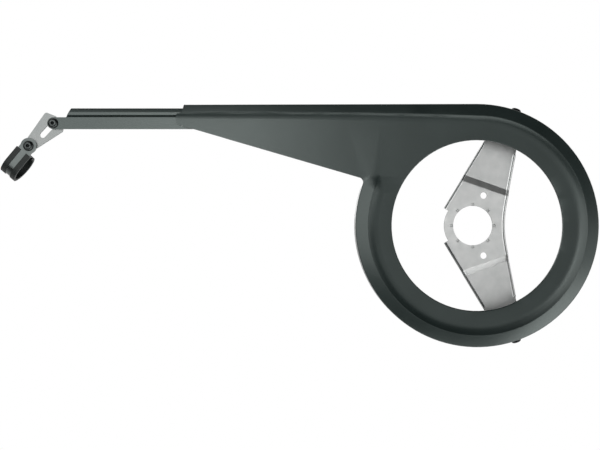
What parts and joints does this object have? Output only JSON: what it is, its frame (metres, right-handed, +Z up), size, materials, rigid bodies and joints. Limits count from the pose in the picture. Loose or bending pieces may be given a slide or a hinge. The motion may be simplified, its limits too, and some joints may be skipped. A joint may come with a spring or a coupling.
{
  "type": "bicycle chain guard",
  "caption": "Bicycle chain guard: a moulded ring and tapering arm on a pressed bottom bracket plate, with a sliding rear rail, a slotted link and a rubber-lined chainstay clip.",
  "frame": {"origin": "centre of the bottom bracket hole, at mid thickness of its plate", "axes": "+X forward along the bicycle, +Z up, -Y outboard on the bicycle's right side"},
  "size_m": [0.5214, 0.0319, 0.2108],
  "materials": {
    "guard_plastic": "satin black injection moulding",
    "rail_plastic": "satin black extrusion",
    "plate_steel": "zinc plated, dull",
    "link_steel": "zinc plated, satin",
    "strap_steel": "zinc plated, satin",
    "zinc_fixing": "zinc plated",
    "black_screw": "black coated",
    "clip_lining": "matt black"
  },
  "bodies": {
    "guard": {"guard_body": "guard_plastic", "bottom_bracket_plate": "plate_steel", "upper_rim_screw": "black_screw", "lower_rim_screw": "black_screw", "upper_rim_nut": "zinc_fixing", "lower_rim_nut": "zinc_fixing", "rail_clamp_screw": "zinc_fixing", "rail_clamp_washer": "zinc_fixing"},
    "rail": {"rear_rail": "rail_plastic"},
    "link_bolt": {"link_screw": "black_screw", "link_washer": "zinc_fixing", "link_nut": "zinc_fixing"},
    "link": {"link_plate": "link_steel", "clip_screw": "black_screw", "clip_washer": "zinc_fixing", "clip_nut": "zinc_fixing"},
    "clip": {"clip_strap": "strap_steel", "clip_rubber": "clip_lining"}
  },
  "joints": [
    {"name": "rail_slide", "type": "slide", "parent": "guard", "child": "rail", "axis": [1, 0, 0], "range_m": [-0.03, 0.05]},
    {"name": "link_pivot", "type": "hinge", "parent": "rail", "child": "link_bolt", "pos_m": [-0.3677, -0.0197, 0.08887], "axis": [0, -1, 0], "range_deg": [-60, 60]},
    {"name": "link_slot_slide", "type": "slide", "parent": "link_bolt", "child": "link", "axis": [0.682, 0, 0.7314], "range_m": [0, 0.01]},
    {"name": "clip_swivel", "type": "hinge", "parent": "link", "child": "clip", "pos_m": [-0.3891, -0.0197, 0.06918], "axis": [0, -1, 0], "range_deg": [-60, 60]}
  ]
}
